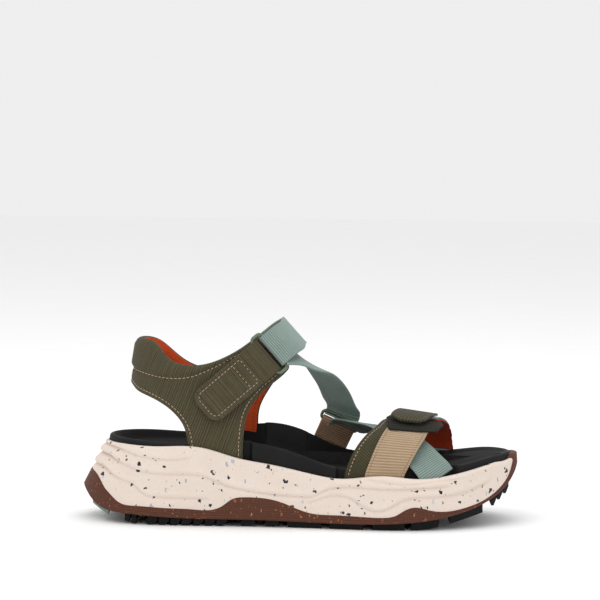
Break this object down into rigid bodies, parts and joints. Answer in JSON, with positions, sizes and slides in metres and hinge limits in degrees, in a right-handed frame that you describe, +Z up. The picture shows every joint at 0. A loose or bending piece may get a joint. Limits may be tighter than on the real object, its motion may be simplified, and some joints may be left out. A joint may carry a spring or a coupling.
{
  "type": "strappy sport sandal",
  "caption": "Right-foot strappy sport sandal: chunky lugged sole, padded heel quarter, zigzag webbing, hook-and-loop ankle tab and forefoot strap.",
  "frame": {"origin": "on the ground under the middle of the sole", "axes": "+X from heel to toe, +Y to the inner side of the foot, +Z up"},
  "size_m": [0.2703, 0.1011, 0.1266],
  "materials": {
    "midsole_foam": "moulded EVA foam, matte, speckled with dark chips",
    "outsole_rubber": "moulded brown rubber, matte, flecked",
    "tread_black": "moulded black rubber, matte",
    "tread_green": "moulded grey-green rubber, matte",
    "shank_plastic": "moulded nylon",
    "board_fibre": "pressed fibre board",
    "footbed_foam": "moulded foam, matte",
    "footbed_cover": "brushed microfibre",
    "quarter_fabric": "woven ripstop-like textile, dark olive",
    "padding_foam": "open-cell foam",
    "lining_orange": "smooth knitted lining",
    "webbing_teal": "grosgrain webbing",
    "webbing_tan": "grosgrain webbing",
    "webbing_brown": "grosgrain webbing",
    "tape_olive": "hook and loop tape",
    "ring_coated": "coated wire, satin"
  },
  "bodies": {
    "sandal": {"midsole": "midsole_foam", "outsole": "outsole_rubber", "heel_tread": "tread_black", "midfoot_tread": "tread_black", "forefoot_tread": "tread_black", "front_tread": "tread_black", "toe_tread": "tread_black", "heel_strike_tread": "tread_green", "shank": "shank_plastic", "insole_board": "board_fibre", "footbed": "footbed_foam", "footbed_cover": "footbed_cover", "quarter": "quarter_fabric", "quarter_padding": "padding_foam", "quarter_lining": "lining_orange", "ankle_loop_tape": "tape_olive", "instep_webbing": "webbing_teal", "diagonal_webbing": "webbing_teal", "forefoot_webbing": "webbing_teal", "midfoot_ring": "ring_coated", "midfoot_loop": "webbing_brown", "outer_strap_lining": "lining_orange", "outer_strap_base": "quarter_fabric", "tan_webbing": "webbing_tan", "forefoot_loop_tape": "tape_olive", "inner_strap_anchor": "webbing_teal"},
    "ankle_ring": {"ankle_ring": "ring_coated"},
    "ankle_tab": {"ankle_tab": "quarter_fabric", "ankle_hook_tape": "tape_olive"},
    "inner_strap": {"inner_strap_lining": "lining_orange", "inner_strap_webbing": "webbing_teal"},
    "forefoot_tab": {"forefoot_tab": "quarter_fabric", "forefoot_hook_tape": "tape_olive"}
  },
  "joints": [
    {"name": "ankle_ring_swing", "type": "hinge", "parent": "sandal", "child": "ankle_ring", "pos_m": [-0.01745, -0.0252, 0.10775], "axis": [-0.6612, 0.1191, 0.7407], "range_deg": [0, 25]},
    {"name": "ankle_tab_peel", "type": "hinge", "parent": "ankle_ring", "child": "ankle_tab", "pos_m": [-0.02302, -0.02683, 0.10304], "axis": [-0.6612, 0.1191, 0.7407], "range_deg": [0, 120]},
    {"name": "forefoot_strap_open", "type": "hinge", "parent": "sandal", "child": "inner_strap", "pos_m": [0.08335, 0.0419, 0.0396], "axis": [-0.9849, 0.173, 0], "range_deg": [0, 50]},
    {"name": "forefoot_tab_peel", "type": "hinge", "parent": "inner_strap", "child": "forefoot_tab", "pos_m": [0.074, 0.014, 0.065], "axis": [-0.9903, 0, 0.1392], "range_deg": [0, 100]}
  ]
}
